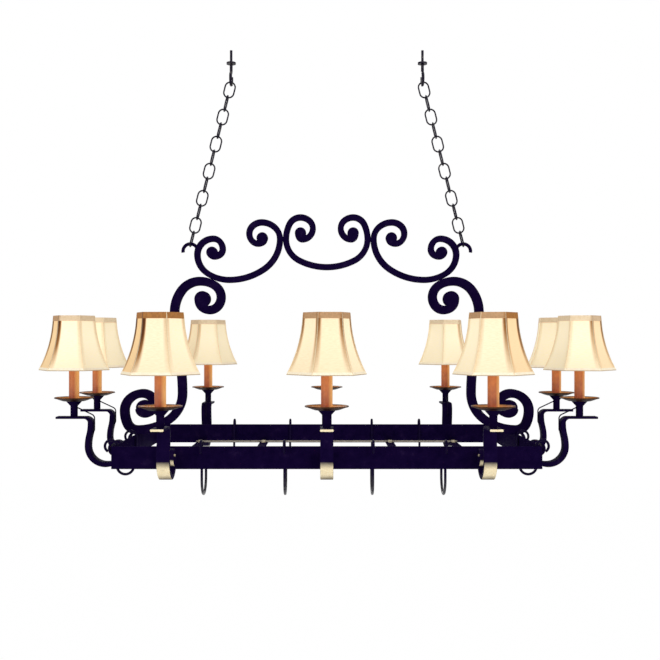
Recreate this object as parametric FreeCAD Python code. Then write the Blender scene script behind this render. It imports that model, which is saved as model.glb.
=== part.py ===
"""Hanging lighted pot rack: wrought-iron rack, scrolled arch, chains, lamps and sliding pot hooks.

Millimetres, +Z up, +X along the rack, the front of the rack faces -Y.
The origin lies on the ceiling plane, midway between the two ceiling hooks.
"""
import FreeCAD, Part
import math
import os

Vector = FreeCAD.Vector

# Rack frame: four flat bars on edge, tied by flat cross bars along their lower edges
rack_length = 890.0
rack_depth = 508.0
rail_height = 47.0
rail_thickness = 6.0
cross_bar_width = 20.0
cross_bar_thickness = 5.0
cross_bar_count = 5

# Lamps: places along the rails and distance out from the rails
outer_lamp_inset = 122.0
end_lamp_spacing = 210.0
lamp_reach = 116.0

# Strap arm that carries each lamp, heights measured from the top of the rail
strap_width = 26.0
strap_thickness = 5.0
seat_gap = 0.15
neck_thickness = 11.0
foot_thickness = 9.0
curl_thickness = 5.0
arm_bar_height = 47.5
arm_tip_past_lamp = 38.0
arm_neck_reach = 77.5
arm_bend_radius = 13.0
arm_belly_reach = 84.0
arm_belly_height = -16.0
arm_foot_reach = 44.0
arm_foot_height = -56.0
arm_seat_height = -24.0
arm_curl_top_reach = 20.0
arm_curl_top_height = -5.0
arm_curl_side_reach = 36.0
arm_curl_side_height = -21.0
arm_curl_end_reach = 22.0
arm_curl_end_height = -35.0
tail_radius = 1.4
tail_drop = 2.0
tail_rise = 4.0
tail_end_height = 22.0
tail_bend_radius = 10.0
rivet_radius = 4.5
rivet_head_height = 2.5

# Candle lamp on each arm
stem_radius = 8.0
stem_length = 23.0
cup_radius = 18.0
cup_height = 11.0
pan_radius = 43.0
pan_wall = 1.5
pan_depth = 7.0
pan_floor_radius = 24.0
nipple_radius = 5.0
nipple_rise = 12.0
sleeve_radius = 11.3
sleeve_wall = 1.2
sleeve_length = 95.0
socket_radius = 9.0
socket_top_gap = 4.0
socket_bore_radius = 6.2
bulb_base_radius = 6.0
bulb_base_length = 22.0
bulb_neck_radius = 8.0
bulb_radius = 16.0
bulb_widest_height = 26.0
bulb_glass_height = 68.0
bulb_tip_radius = 2.5

# Six-panel bell shade that clips on the bulb
shade_bottom_radius = 78.0
shade_top_radius = 45.5
shade_height = 120.0
shade_wall = 1.4
shade_rise_over_pan = 69.0
shade_panels = 6
shade_level_shares = (0.0, 0.18, 0.42, 0.7, 1.0)
shade_flare_shares = (1.0, 0.68, 0.36, 0.12, 0.0)
top_trim_height = 11.0
shade_wire_radius = 1.2
shade_spoke_radius = 0.9
clip_height_on_bulb = 31.0
clip_clearance = 0.3
shade_spokes = 3
front_shade_turns = (55.0, 9.0, 50.0)
back_shade_turns = (5.0, 20.0, 17.0)
left_shade_turns = (0.0, 2.0)
right_shade_turns = (51.0, 22.0)

# Arch: three C-scrolls on two S-shaped legs, all in the middle plane, heights from the rail top
scroll_bar = 14.0
leg_bar = 20.0
scroll_eye_radius = 13.2
leg_upper_eye_radius = 18.5
leg_lower_eye_radius = 17.5
weld_gap = 0.2
leg_outer_x = 470.6
leg_inner_x = 246.0
leg_height = 346.0
leg_top_above_scroll = 13.9
end_scroll_outer_x = 301.5
end_scroll_height = 134.0
scroll_touch_x = 102.0
scroll_touch_height = 95.0
middle_scroll_bottom = 29.7
middle_scroll_height = 115.8

# Turning points of each bar's centre line, as shares of its width and height, with its heading there
leg_shares = (
    (0.16, 0.14, "down"), (0.216, 0.111, "right"), (0.305, 0.176, "up"), (0.187, 0.245, "left"),
    (0.0, 0.129, "down"), (0.128, 0.0, "right"), (0.599, 0.246, "up"), (0.517, 0.792, "up"),
    (0.782, 1.0, "right"), (1.0, 0.892, "down"), (0.88, 0.806, "left"), (0.772, 0.872, "up"),
)
leg_eye_shares = ((0.2, 0.15), (0.808, 0.88))
end_scroll_shares = (
    (0.152, 0.466, "down"), (0.205, 0.406, "right"), (0.307, 0.534, "up"), (0.193, 0.716, "left"),
    (0.0, 0.44, "down"), (0.387, 0.0, "right"), (1.0, None, "up"), (0.779, 1.0, "left"),
    (0.629, 0.803, "down"), (0.735, 0.631, "right"), (0.814, 0.716, "up"),
)
end_scroll_eye_shares = ((0.178, 0.478), (0.786, 0.727))
middle_scroll_shares = (
    (-0.707, 0.667, "down"), (-0.6, 0.56, "right"), (-0.342, 0.778, "up"), (-0.646, 1.0, "left"),
    (-1.0, None, "down"), (0.0, 0.0, "right"), (1.0, None, "up"), (0.646, 1.0, "left"),
    (0.342, 0.778, "down"), (0.6, 0.56, "right"), (0.707, 0.667, "up"),
)
middle_scroll_eye_shares = ((-0.645, 0.684), (0.645, 0.684))

# Chains and the horns that hold them
wire_diameter = 3.6
link_length = 40.0
link_width = 27.0
link_gap = 0.25
link_count = 12
chain_lean = 14.1
horn_offset = 9.5
horn_height_share = 0.5
horn_radius = 17.0
horn_bar_radius = 4.0
horn_tip_angle = 190.0
horn_root_angle = 15.0

# Ceiling hooks
hook_bar_radius = 3.5
hook_ring_radius = 14.0
hook_open_angle = 60.0
hook_shank_length = 20.0
hook_flange_radius = 11.0
hook_flange_thickness = 4.0
hook_thread_radius = 3.0
hook_thread_length = 28.0

# S-shaped pot hooks
pot_wire_radius = 2.75
pot_hook_clearance = 0.36
pot_curl_radius = 12.5
pot_curl_drop = 1.0
pot_curl_end_angle = -60.0
long_hook_bottom = -107.0
long_hook_loop_radius = 34.0
long_hook_tip_rise = 14.0
end_hook_bottom = -62.0
end_hook_loop_radius = 17.5
end_hook_tip_rise = 6.0
front_hook_shares = (-0.802, -0.271, 0.296, 0.76)
back_hook_shares = (-0.743, -0.294, 0.362, 0.743)
end_hook_corner_distance = 14.0
end_hook_middle_distance = 42.0

# Lamp wire clipped along the cross bars near the back rail
lead_radius = 2.2
lead_inset = 36.0
clip_width = 9.0
clip_wall = 1.2
clip_foot = 7.0

# Shared working values
half_length = rack_length / 2
half_depth = rack_depth / 2
long_lamp_spacing = half_length - outer_lamp_inset
leg_foot_x = leg_outer_x - leg_shares[5][0] * (leg_outer_x - leg_inner_x)
arch_factor = (half_length - rail_thickness / 2) / leg_foot_x
end_scroll_bottom = leg_height + leg_bar + scroll_bar / 2 - leg_top_above_scroll
horn_centre_x = end_scroll_outer_x + scroll_bar / 2 + horn_offset
horn_centre_height = end_scroll_bottom + horn_height_share * end_scroll_height
link_pitch = link_length - 2 * wire_diameter - link_gap
lean = math.radians(chain_lean)
chain_start_x = horn_centre_x * arch_factor
chain_start_height = (horn_centre_height + horn_radius - horn_bar_radius) * arch_factor - link_gap
chain_run = link_count * link_pitch
hook_contact_x = chain_start_x - chain_run * math.sin(lean)
hook_contact_height = chain_start_height + chain_run * math.cos(lean)
hook_ring_height = hook_contact_height - link_gap - hook_bar_radius + hook_ring_radius
ceiling_height = hook_ring_height + hook_ring_radius + hook_shank_length + hook_flange_thickness
rail_top = -ceiling_height
pan_floor = arm_bar_height + strap_thickness / 2 + stem_length + cup_height
X_AXIS = Vector(1, 0, 0)
Y_AXIS = Vector(0, 1, 0)
Z_AXIS = Vector(0, 0, 1)
DIRECTIONS = {"up": (0, 1), "down": (0, -1), "right": (1, 0), "left": (-1, 0)}


def save(name, shapes):
    """Write one node, a single solid or a group of separate solids."""
    shapes = shapes if isinstance(shapes, list) else [shapes]
    shape = shapes[0] if len(shapes) == 1 else Part.makeCompound(shapes)
    shape.exportStep("parts/" + name + ".step")


def turn(point, centre, angle):
    """Rotate a flat point about a centre."""
    du, dv = point[0] - centre[0], point[1] - centre[1]
    return (centre[0] + du * math.cos(angle) - dv * math.sin(angle),
            centre[1] + du * math.sin(angle) + dv * math.cos(angle))


def arc_between(start, heading, end):
    """Flat arc that leaves start along heading and reaches end, with its middle and end headings."""
    chord = (end[0] - start[0], end[1] - start[1])
    cross = heading[0] * chord[1] - heading[1] * chord[0]
    dot = heading[0] * chord[0] + heading[1] * chord[1]
    half_turn = math.atan2(cross, dot)
    if abs(half_turn) < 1e-6:
        middle = ((start[0] + end[0]) / 2, (start[1] + end[1]) / 2)
        return start, middle, end, heading, heading, heading
    radius = math.hypot(*chord) / (2 * math.sin(half_turn))
    centre = (start[0] - heading[1] * radius, start[1] + heading[0] * radius)
    middle = turn(start, centre, half_turn)
    return start, middle, end, heading, turn(heading, (0, 0), half_turn), turn(heading, (0, 0), 2 * half_turn)


def smooth_path(stations):
    """Join stations (u, v, direction name) with pairs of tangent arcs."""
    arcs = []
    for (u0, v0, way0), (u1, v1, way1) in zip(stations, stations[1:]):
        t0, t1 = DIRECTIONS[way0], DIRECTIONS[way1]
        span = (u1 - u0, v1 - v0)
        reach = span[0] * (t0[0] + t1[0]) + span[1] * (t0[1] + t1[1])
        size = span[0] ** 2 + span[1] ** 2
        facing = 2 * (t0[0] * t1[0] + t0[1] * t1[1] - 1)
        if facing == 0:
            length = size / (2 * reach)
        else:
            length = (2 * reach - math.sqrt(4 * reach ** 2 - 4 * facing * size)) / (2 * facing)
        middle = ((u0 + length * t0[0] + u1 - length * t1[0]) / 2,
                  (v0 + length * t0[1] + v1 - length * t1[1]) / 2)
        first = arc_between((u0, v0), t0, middle)
        arcs.append(first)
        arcs.append(arc_between(middle, first[5], (u1, v1)))
    return arcs


def flat_bar(stations, sizes, depth, to_space, across):
    """Bar of rectangular section along a smooth flat path, as thick at each station as sizes says."""
    arcs = smooth_path(stations)

    def half_size(place):
        index = min(int(place), len(sizes) - 2)
        return (sizes[index] + (sizes[index + 1] - sizes[index]) * (place - index)) / 2

    def side(sign):
        edges = []
        for number, (start, middle, end, h0, h1, h2) in enumerate(arcs):
            points = []
            for step, (point, heading) in enumerate(((start, h0), (middle, h1), (end, h2))):
                half = sign * half_size(number / 2 + step / 4)
                points.append(to_space(point[0] - half * heading[1], point[1] + half * heading[0]))
            straight = (points[1] - points[0]).cross(points[2] - points[0]).Length < 1e-6
            edges.append(Part.makeLine(points[0], points[2]) if straight else Part.Arc(*points).toShape())
        return edges

    left, right = side(1), side(-1)
    ends = [Part.makeLine(left[-1].lastVertex().Point, right[-1].lastVertex().Point),
            Part.makeLine(right[0].firstVertex().Point, left[0].firstVertex().Point)]
    wire = Part.Wire(left + [ends[0]] + [edge for edge in reversed(right)] + [ends[1]])
    bar = Part.Face(wire).extrude(across * depth)
    bar.translate(across * (-depth / 2))
    return bar


def arch_place(u, v):
    """Point of the arch's plane: u along the rack, v above the rail top."""
    return Vector(u * arch_factor, 0, rail_top + v * arch_factor)


def eye(u, v, radius, depth):
    """Solid round eye at the end of a scroll."""
    return Part.makeCylinder(radius, depth, arch_place(u, v) - Y_AXIS * (depth / 2), Y_AXIS)


def mirrored(shape):
    """Copy of a left-hand piece on the right."""
    return shape.mirror(Vector(0, 0, 0), X_AXIS)


def tube(edges, radius):
    """Round bar along a path of lines and arcs, one run for each, joined end to end."""
    runs = []
    for edge in edges:
        start, heading = edge.valueAt(edge.FirstParameter), edge.tangentAt(edge.FirstParameter)
        section = Part.Face(Part.Wire(Part.makeCircle(radius, start, heading)))
        if isinstance(edge.Curve, Part.Circle):
            centre = edge.Curve.Center
            sweep = math.degrees(edge.Length / edge.Curve.Radius)
            runs.append(section.revolve(centre, (start - centre).cross(heading), sweep))
        else:
            runs.append(section.extrude(edge.valueAt(edge.LastParameter) - start))
    return runs[0].multiFuse(runs[1:]) if len(runs) > 1 else runs[0]


def revolved(points, place):
    """Solid of revolution about a vertical line through place, from (radius, height) points."""
    outline = Part.makePolygon([place + Vector(r, 0, z) for r, z in points + points[:1]])
    return Part.Face(outline).revolve(place, Z_AXIS, 360)


# Rails: the long bars run full length, the end bars fit between them
def rails():
    z = rail_top - rail_height
    front = Part.makeBox(rack_length, rail_thickness, rail_height, Vector(-half_length, -half_depth, z))
    back = Part.makeBox(rack_length, rail_thickness, rail_height,
                        Vector(-half_length, half_depth - rail_thickness, z))
    end_length = rack_depth - 2 * rail_thickness
    left = Part.makeBox(rail_thickness, end_length, rail_height,
                        Vector(-half_length, -half_depth + rail_thickness, z))
    save("front_rail", front)
    save("back_rail", back)
    save("left_rail", left)
    save("right_rail", mirrored(left))


def cross_bar_places():
    pitch = 2 * long_lamp_spacing / (cross_bar_count - 1)
    return [-long_lamp_spacing + pitch * index for index in range(cross_bar_count)]


def cross_bars():
    length = rack_depth - 2 * rail_thickness
    bars = []
    for x in cross_bar_places():
        corner = Vector(x - cross_bar_width / 2, -length / 2, rail_top - rail_height)
        bars.append(Part.makeBox(cross_bar_width, length, cross_bar_thickness, corner))
    save("cross_bars", bars)


# Lamp wire on the cross bars, held by a saddle clip on each
def wiring():
    y = half_depth - rail_thickness - lead_inset
    seat = rail_top - rail_height + cross_bar_thickness
    start = Vector(-long_lamp_spacing - cross_bar_width / 2, y, seat + lead_radius)
    lead = Part.makeCylinder(lead_radius, 2 * long_lamp_spacing + cross_bar_width, start, X_AXIS)
    save("lamp_lead", lead)
    clips = []
    for x in cross_bar_places():
        base = Vector(x - clip_width / 2, y, seat)
        outer = lead_radius + clip_wall
        body = Part.makeCylinder(outer, clip_width, base + Z_AXIS * lead_radius, X_AXIS)
        body = body.fuse(Part.makeBox(clip_width, 2 * outer, lead_radius, base - Y_AXIS * outer))
        foot = Part.makeBox(clip_width, 2 * (outer + clip_foot), clip_wall, base - Y_AXIS * (outer + clip_foot))
        room = Part.makeCylinder(lead_radius, clip_width, base + Z_AXIS * lead_radius, X_AXIS)
        below = Part.makeBox(clip_width, 2 * lead_radius, lead_radius, base - Y_AXIS * lead_radius)
        under = Part.makeBox(clip_width, 4 * outer, outer, base - Y_AXIS * (2 * outer) - Z_AXIS * outer)
        clips.append(body.fuse(foot).cut(room.fuse(below).fuse(under)).removeSplitter())
    save("lead_clips", clips)


# Lamp sites: place of the rail's outer face, outward direction and shade turn
def lamp_sites():
    sites = {"front": [], "back": [], "left": [], "right": []}
    for index, x in enumerate((-long_lamp_spacing, 0, long_lamp_spacing)):
        sites["front"].append((Vector(x, -half_depth, rail_top), -Y_AXIS, front_shade_turns[index]))
        sites["back"].append((Vector(x, half_depth, rail_top), Y_AXIS, back_shade_turns[index]))
    for index, y in enumerate((-end_lamp_spacing / 2, end_lamp_spacing / 2)):
        sites["left"].append((Vector(-half_length, y, rail_top), -X_AXIS, left_shade_turns[index]))
        sites["right"].append((Vector(half_length, y, rail_top), X_AXIS, right_shade_turns[index]))
    return sites


def lamp_arm(face, outward):
    """Scrolled strap: level seat under the lamp, neck, belly and a foot curled against the rail."""
    stations = [
        (lamp_reach + arm_tip_past_lamp, arm_bar_height, "left"),
        (arm_neck_reach + arm_bend_radius, arm_bar_height, "left"),
        (arm_neck_reach, arm_bar_height - arm_bend_radius, "down"),
        (arm_belly_reach, arm_belly_height, "down"),
        (arm_foot_reach, arm_foot_height, "left"),
        (foot_thickness / 2 + seat_gap, arm_seat_height, "up"),
        (arm_curl_top_reach, arm_curl_top_height, "right"),
        (arm_curl_side_reach, arm_curl_side_height, "down"),
        (arm_curl_end_reach, arm_curl_end_height, "left"),
    ]
    across = Z_AXIS.cross(outward)
    sizes = [strap_thickness, strap_thickness, neck_thickness, neck_thickness, neck_thickness,
             foot_thickness, curl_thickness, curl_thickness, curl_thickness]
    return flat_bar(stations, sizes, strap_width, lambda u, v: face + outward * u + Z_AXIS * v, across)


def lamp_tail(face, outward, arm, stem):
    """Lead that leaves the stem, leans to the neck, runs down its inner side and goes into it."""
    run = arm_neck_reach - neck_thickness / 2 - tail_radius

    def at(u, v):
        return face + outward * u + Z_AXIS * v

    start = (lamp_reach - stem_radius / 2, pan_floor - cup_height - tail_drop)
    corner = (run, arm_bar_height + tail_rise)
    lean = math.atan2(start[1] - corner[1], start[0] - corner[0])
    cut = tail_bend_radius * math.tan((math.pi / 2 - lean) / 2)
    first = (corner[0] + cut * math.cos(lean), corner[1] + cut * math.sin(lean))
    second = (run, corner[1] - cut)
    bend = arc_between(second, (0, 1), first)
    low = (run, tail_end_height)
    last = (run + tail_bend_radius, low[1] - tail_bend_radius)
    turn_in = arc_between(low, (0, -1), last)
    edges = [Part.makeLine(at(*start), at(*first)),
             Part.Arc(at(*first), at(*bend[1]), at(*second)).toShape(),
             Part.makeLine(at(*second), at(*low)),
             Part.Arc(at(*low), at(*turn_in[1]), at(*last)).toShape()]
    pieces = tube(edges, tail_radius).cut(arm).cut(stem).Solids
    return max(pieces, key=lambda piece: piece.Volume)


def arm_rivet(face, outward):
    """Rivet head on the inner face of the rail behind the arm's seat."""
    place = face - outward * rail_thickness + Z_AXIS * arm_seat_height
    return Part.makeCylinder(rivet_radius, rivet_head_height, place, outward * -1)


# Lamp pieces stand on the arm's level seat, stacked along the lamp's axis
def lamp_stem(axis):
    base = arm_bar_height + strap_thickness / 2
    points = [(0, base), (stem_radius, base), (stem_radius, base + stem_length), (cup_radius, pan_floor),
              (nipple_radius, pan_floor), (nipple_radius, pan_floor + nipple_rise), (0, pan_floor + nipple_rise)]
    return revolved(points, axis)


def drip_pan(axis):
    top = pan_floor + pan_wall
    rim = pan_floor + pan_depth
    points = [(nipple_radius, pan_floor), (pan_floor_radius, pan_floor), (pan_radius, rim),
              (pan_radius, rim + pan_wall), (pan_floor_radius, top), (nipple_radius, top)]
    return revolved(points, axis)


def candle_sleeve(axis):
    base = pan_floor + pan_wall
    inner = sleeve_radius - sleeve_wall
    points = [(inner, base), (sleeve_radius, base), (sleeve_radius, base + sleeve_length),
              (inner, base + sleeve_length)]
    return revolved(points, axis)


def lamp_socket(axis):
    base = pan_floor + nipple_rise
    top = pan_floor + pan_wall + sleeve_length - socket_top_gap
    floor = top - bulb_base_length
    points = [(0, base), (socket_radius, base), (socket_radius, top), (socket_bore_radius, top),
              (socket_bore_radius, floor), (0, floor)]
    return revolved(points, axis)


def bulb(axis):
    """Flame-shaped glass on a screw base that stands in the socket's bore."""
    neck = pan_floor + pan_wall + sleeve_length - socket_top_gap
    base = neck - bulb_base_length
    widest = neck + bulb_widest_height
    tip = neck + bulb_glass_height
    outline = [
        Part.makeLine(axis + Vector(0, 0, base), axis + Vector(bulb_base_radius, 0, base)),
        Part.makeLine(axis + Vector(bulb_base_radius, 0, base), axis + Vector(bulb_base_radius, 0, neck)),
        Part.makeLine(axis + Vector(bulb_base_radius, 0, neck), axis + Vector(bulb_neck_radius, 0, neck)),
    ]
    arcs = [arc_between((bulb_radius, widest), (0, -1), (bulb_neck_radius, neck)),
            arc_between((bulb_radius, widest), (0, 1), (bulb_tip_radius, tip))]
    for start, middle, end, *headings in arcs:
        outline.append(Part.Arc(*[axis + Vector(p[0], 0, p[1]) for p in (start, middle, end)]).toShape())
    outline.append(Part.makeLine(axis + Vector(bulb_tip_radius, 0, tip), axis + Vector(0, 0, tip)))
    outline.append(Part.makeLine(axis + Vector(0, 0, tip), axis + Vector(0, 0, base)))
    wire = Part.Wire(Part.sortEdges(outline)[0])
    return Part.Face(wire).revolve(axis, Z_AXIS, 360)


def shade_radius(share):
    """Corner radius of the bell at a share of its height."""
    pairs = list(zip(shade_level_shares, shade_flare_shares))
    for (low, flare_low), (high, flare_high) in zip(pairs, pairs[1:]):
        if share <= high:
            flare = flare_low + (flare_high - flare_low) * (share - low) / (high - low)
            return shade_top_radius + (shade_bottom_radius - shade_top_radius) * flare
    return shade_top_radius


def shade_panel(axis, turn_degrees, panel):
    """One sewn panel of the bell, from corner to corner and mitred to its neighbours."""
    base = pan_floor + shade_rise_over_pan
    rings = []
    for share in shade_level_shares:
        height = base + share * shade_height
        corners = []
        for corner, growth in ((panel, 0), (panel + 1, 0), (panel + 1, -shade_wall), (panel, -shade_wall), (panel, 0)):
            angle = math.radians(turn_degrees) + 2 * math.pi * corner / shade_panels
            radius = shade_radius(share) + growth
            corners.append(axis + Vector(radius * math.cos(angle), radius * math.sin(angle), height))
        rings.append(Part.makePolygon(corners))
    return Part.makeLoft(rings, True, True)


def shade(axis, turn_degrees):
    """Bell of sewn fabric panels, open at both ends."""
    return [shade_panel(axis, turn_degrees, panel) for panel in range(shade_panels)]


def shade_frame():
    """Clip ring round the bulb, spokes and the wire ring that carries the top of the shade, on the lamp's axis."""
    glass = pan_floor + pan_wall + sleeve_length - socket_top_gap
    clip_z = glass + clip_height_on_bulb
    clip_radius = bulb_radius + clip_clearance + shade_wire_radius
    ring_z = pan_floor + shade_rise_over_pan + shade_height - top_trim_height / 2
    flat_radius = (shade_top_radius - shade_wall) * math.cos(math.pi / shade_panels)
    ring_radius = flat_radius - clip_clearance - shade_wire_radius
    frame = Part.makeTorus(clip_radius, shade_wire_radius, Z_AXIS * clip_z)
    frame = frame.fuse(Part.makeTorus(ring_radius, shade_wire_radius, Z_AXIS * ring_z))
    for spoke in range(shade_spokes):
        angle = math.pi / shade_panels + 2 * math.pi * spoke / shade_spokes
        way = Vector(math.cos(angle), math.sin(angle), 0)
        foot = way * clip_radius + Z_AXIS * clip_z
        head = way * ring_radius + Z_AXIS * ring_z
        frame = frame.fuse(Part.makeCylinder(shade_spoke_radius, (head - foot).Length, foot, head - foot))
    return frame


def lamps():
    stems, pans, sleeves, sockets, bulbs, rivets, tails = [], [], [], [], [], [], []
    number = 0
    frame = shade_frame()
    for side, sites in lamp_sites().items():
        arms = []
        for face, outward, turn_degrees in sites:
            number += 1
            axis = face + outward * lamp_reach
            arms.append(lamp_arm(face, outward))
            rivets.append(arm_rivet(face, outward))
            stems.append(lamp_stem(axis))
            tails.append(lamp_tail(face, outward, arms[-1], stems[-1]))
            pans.append(drip_pan(axis))
            sleeves.append(candle_sleeve(axis))
            sockets.append(lamp_socket(axis))
            bulbs.append(bulb(axis))
            save("shade_%02d" % number, shade(axis, turn_degrees))
            turned_frame = frame.copy()
            turned_frame.rotate(Vector(0, 0, 0), Z_AXIS, turn_degrees)
            save("shade_frame_%02d" % number, turned_frame.translated(axis))
        save(side + "_lamp_arms", arms)
    save("arm_rivets", rivets)
    save("lamp_tails", tails)
    save("lamp_stems", stems)
    save("drip_pans", pans)
    save("candle_sleeves", sleeves)
    save("lamp_sockets", sockets)
    save("bulbs", bulbs)


# Scrolls: each bar follows its shares inside its own box and ends in round eyes
def scroll(shares, eye_shares, eye_radii, box, touch, bar_size):
    low_u, low_v, width, height = box
    stations = []
    for u, v, way in shares:
        stations.append((low_u + u * width, touch if v is None else low_v + v * height, way))
    depth = bar_size * arch_factor
    bar = flat_bar(stations, [bar_size] * len(stations), depth, arch_place, Y_AXIS)
    for (u, v), radius in zip(eye_shares, eye_radii):
        bar = bar.fuse(eye(low_u + u * width, low_v + v * height, radius * arch_factor, depth))
    return bar.removeSplitter()


def left_c_scroll():
    inner_x = scroll_touch_x + (scroll_bar + weld_gap) / 2
    box = (-end_scroll_outer_x, end_scroll_bottom, end_scroll_outer_x - inner_x, end_scroll_height)
    return scroll(end_scroll_shares, end_scroll_eye_shares, (scroll_eye_radius, scroll_eye_radius), box,
                  end_scroll_bottom + scroll_touch_height, scroll_bar)


def middle_c_scroll():
    half_width = scroll_touch_x - (scroll_bar + weld_gap) / 2
    box = (0, end_scroll_bottom + middle_scroll_bottom, half_width, middle_scroll_height)
    return scroll(middle_scroll_shares, middle_scroll_eye_shares, (scroll_eye_radius, scroll_eye_radius), box,
                  end_scroll_bottom + scroll_touch_height, scroll_bar)


def left_leg():
    box = (-leg_outer_x, leg_bar / 2, leg_outer_x - leg_inner_x, leg_height)
    return scroll(leg_shares, leg_eye_shares, (leg_lower_eye_radius, leg_upper_eye_radius), box, 0, leg_bar)


def chain_link(foot, along, flat):
    """Oval link: foot is the inner end of the link, along points up the chain, flat lies in the link's plane."""
    radius = wire_diameter / 2
    across = link_width / 2 - radius
    straight = link_length - 2 * radius - 2 * across
    low = foot + along * (across - radius)
    high = low + along * straight
    corners = [low - flat * across, high - flat * across, high + flat * across, low + flat * across]
    edges = [Part.makeLine(corners[0], corners[1]),
             Part.Arc(corners[1], high + along * across, corners[2]).toShape(),
             Part.makeLine(corners[2], corners[3]),
             Part.Arc(corners[3], low - along * across, corners[0]).toShape()]
    return tube(edges, radius)


def left_chain():
    along = Vector(math.sin(lean), 0, math.cos(lean))
    side = Vector(math.cos(lean), 0, -math.sin(lean))
    start = Vector(-chain_start_x, 0, rail_top + chain_start_height)
    links = []
    for index in range(link_count):
        foot = start + along * (link_pitch * index)
        links.append(chain_link(foot, along, Y_AXIS if index % 2 == 0 else side))
    return links


def chain_horn(scroll):
    """Round hook on the outer side of the end C-scroll, cut to sit flush on its bar."""
    def place(angle):
        angle = math.radians(angle)
        return arch_place(-horn_centre_x + horn_radius * math.cos(angle),
                          horn_centre_height + horn_radius * math.sin(angle))
    middle = (horn_tip_angle + horn_root_angle) / 2
    arc = Part.Arc(place(horn_tip_angle), place(middle), place(horn_root_angle)).toShape()
    pieces = tube([arc], horn_bar_radius * arch_factor).cut(scroll).Solids
    return max(pieces, key=lambda piece: piece.Volume)


def arch():
    left = left_c_scroll()
    leg = left_leg()
    horn = chain_horn(left)
    links = left_chain()
    save("left_c_scroll", left)
    save("right_c_scroll", mirrored(left))
    save("middle_c_scroll", middle_c_scroll())
    save("left_scroll_leg", leg)
    save("right_scroll_leg", mirrored(leg))
    save("chain_horns", [horn, mirrored(horn)])
    save("left_chain", links)
    save("right_chain", [mirrored(link) for link in links])


def ceiling_hook():
    """Screw hook: open ring, shank, flange against the ceiling and a thread above it."""
    centre = Vector(-hook_contact_x, 0, rail_top + hook_ring_height)

    def place(angle):
        angle = math.radians(angle)
        return centre + Vector(0, hook_ring_radius * math.sin(angle), hook_ring_radius * math.cos(angle))

    ring = Part.Arc(place(0), place(180 + hook_open_angle / 2), place(hook_open_angle)).toShape()
    top = place(0)
    body = tube([ring], hook_bar_radius)
    body = body.fuse(Part.makeSphere(hook_bar_radius, top))
    body = body.fuse(Part.makeCylinder(hook_bar_radius, hook_shank_length, top, Z_AXIS))
    flange = top + Z_AXIS * hook_shank_length
    body = body.fuse(Part.makeCylinder(hook_flange_radius, hook_flange_thickness, flange, Z_AXIS))
    thread = flange + Z_AXIS * hook_flange_thickness
    return body.fuse(Part.makeCylinder(hook_thread_radius, hook_thread_length, thread, Z_AXIS)).removeSplitter()


def pot_hook(place, outward, bottom, loop_radius, tip_rise):
    """S-hook: curl over the rail, shank down the inner face and an open loop below, turned inwards."""
    shank = -(rail_thickness / 2 + pot_hook_clearance + pot_wire_radius)
    curl = (shank + pot_curl_radius, -pot_curl_drop)
    loop = (shank - loop_radius, bottom + pot_wire_radius + loop_radius)
    end = math.radians(pot_curl_end_angle)

    def at(u, v):
        return place + outward * u + Z_AXIS * v

    middle = (math.pi + end) / 2
    edges = [
        Part.Arc(at(curl[0] + pot_curl_radius * math.cos(end), curl[1] + pot_curl_radius * math.sin(end)),
                 at(curl[0] + pot_curl_radius * math.cos(middle), curl[1] + pot_curl_radius * math.sin(middle)),
                 at(shank, curl[1])).toShape(),
        Part.makeLine(at(shank, curl[1]), at(shank, loop[1])),
        Part.Arc(at(shank, loop[1]), at(loop[0], loop[1] - loop_radius), at(loop[0] - loop_radius, loop[1])).toShape(),
        Part.makeLine(at(loop[0] - loop_radius, loop[1]), at(loop[0] - loop_radius, loop[1] + tip_rise)),
    ]
    return tube(edges, pot_wire_radius)


def pot_hooks():
    middle = half_depth - rail_thickness / 2
    for side, way, shares in (("front", -1, front_hook_shares), ("back", 1, back_hook_shares)):
        for index, share in enumerate(shares):
            hook = pot_hook(Vector(share * long_lamp_spacing, way * middle, rail_top), Y_AXIS * way,
                            long_hook_bottom, long_hook_loop_radius, long_hook_tip_rise)
            save("%s_pot_hook_%d" % (side, index + 1), hook)
    middle = half_length - rail_thickness / 2
    for index, y in enumerate((end_hook_corner_distance - half_depth, -end_hook_middle_distance)):
        for side, way in (("left", -1), ("right", 1)):
            hook = pot_hook(Vector(way * middle, y, rail_top), X_AXIS * way,
                            end_hook_bottom, end_hook_loop_radius, end_hook_tip_rise)
            save("%s_pot_hook_%d" % (side, index + 1), hook)


os.makedirs("parts", exist_ok=True)
rails()
cross_bars()
wiring()
lamps()
arch()
hook_left = ceiling_hook()
save("left_ceiling_hook", hook_left)
save("right_ceiling_hook", mirrored(hook_left))
pot_hooks()
print("rail top", round(rail_top, 2), "hook contact", round(hook_contact_x, 2),
      round(rail_top + hook_contact_height, 2))
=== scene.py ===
"""Hanging lighted pot rack: forged iron frame and arch, chains, candle lamps with fabric bell shades."""

import math

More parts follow.
